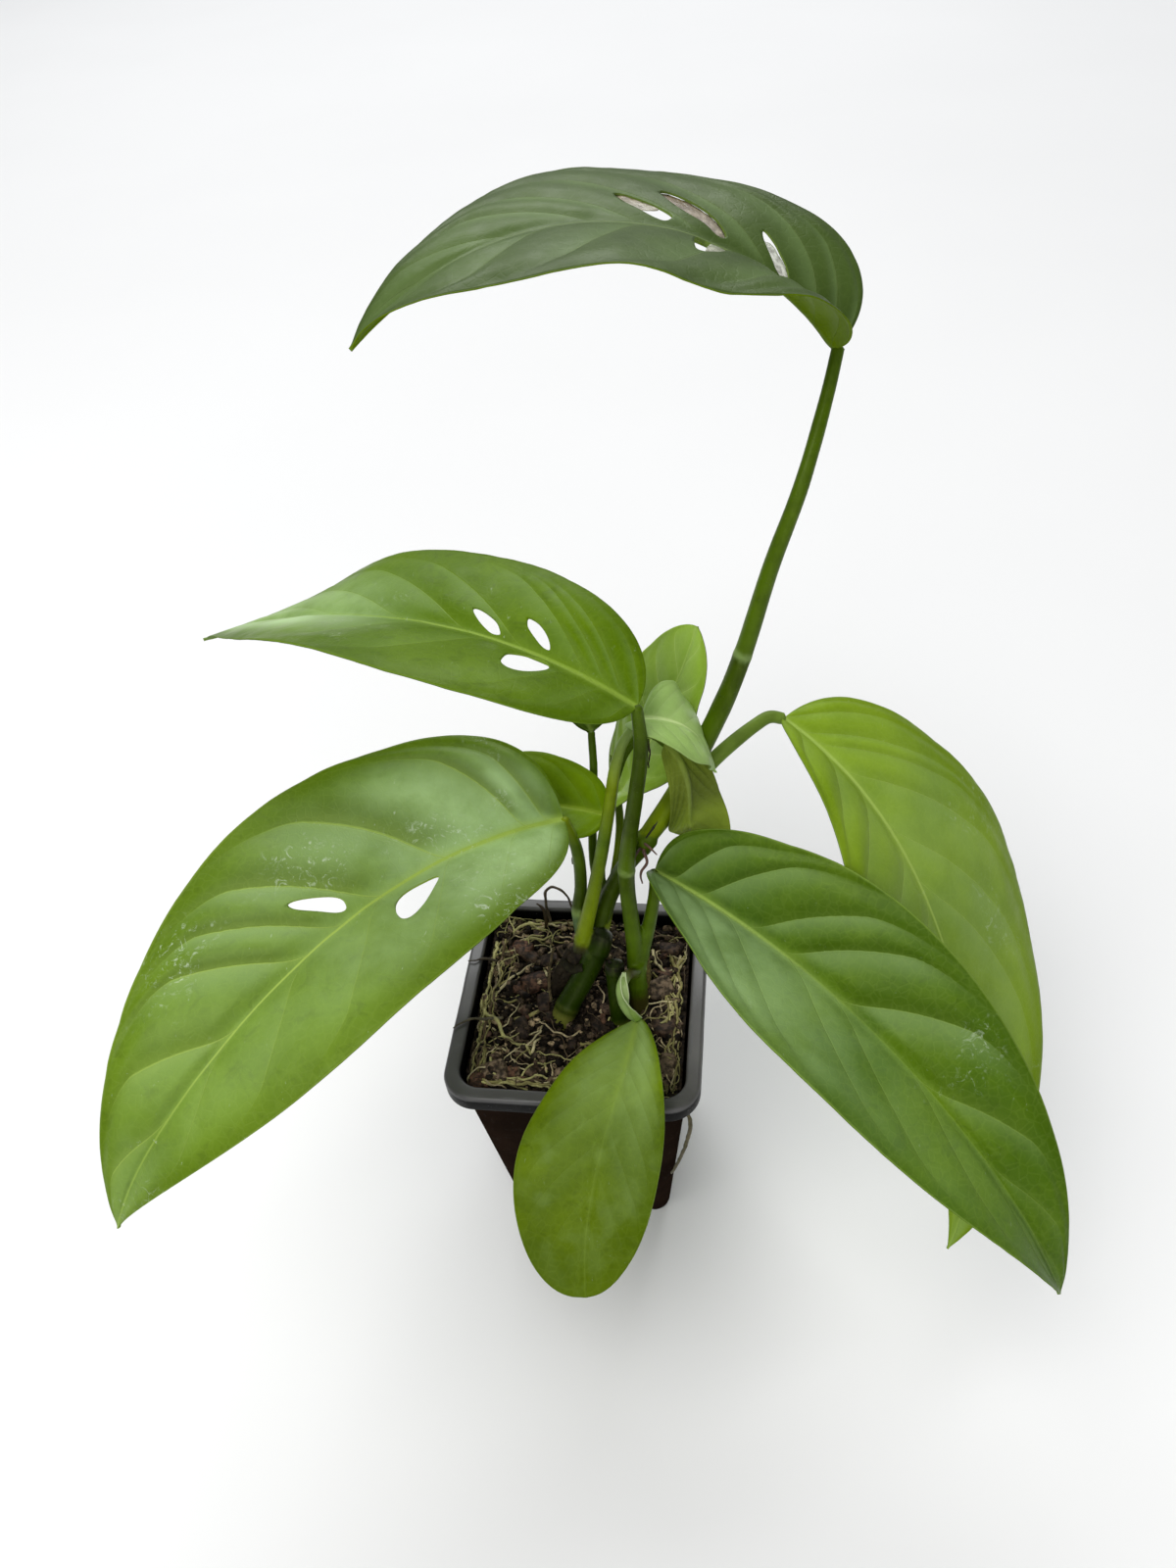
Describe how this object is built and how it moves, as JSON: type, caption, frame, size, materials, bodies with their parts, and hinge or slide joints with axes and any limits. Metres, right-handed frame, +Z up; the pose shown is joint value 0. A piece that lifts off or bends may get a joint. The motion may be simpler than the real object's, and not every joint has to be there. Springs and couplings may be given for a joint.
{
  "type": "potted swiss cheese vine",
  "caption": "Young swiss cheese vine with glossy, partly holed leaves on arching petioles, growing in potting mix in a square black nursery pot.",
  "frame": {"origin": "centre of the pot's flat underside", "axes": "+Z up, -Y towards the front from which the plant is pictured, +X to the right"},
  "size_m": [0.2419, 0.178, 0.2737],
  "materials": {
    "pot": "satin black moulded plastic, slightly scuffed",
    "soil": "rough dark potting mix with bark and roots",
    "stem": "smooth green stem",
    "leaf": "glossy green leaf, paler underneath"
  },
  "bodies": {
    "root": {"pot": "pot", "soil": "soil", "vine_left": "stem", "vine_right": "stem", "stem_stub": "stem", "leaf_top": "leaf", "leaf_upper_left": "leaf", "leaf_lower_left": "leaf", "leaf_front_right": "leaf", "leaf_rear_right": "leaf", "leaf_front_small": "leaf", "leaf_rear_upright": "leaf", "leaf_centre": "leaf", "leaf_hanging": "leaf", "leaf_behind_left": "leaf", "leaf_rear": "leaf"}
  },
  "joints": []
}
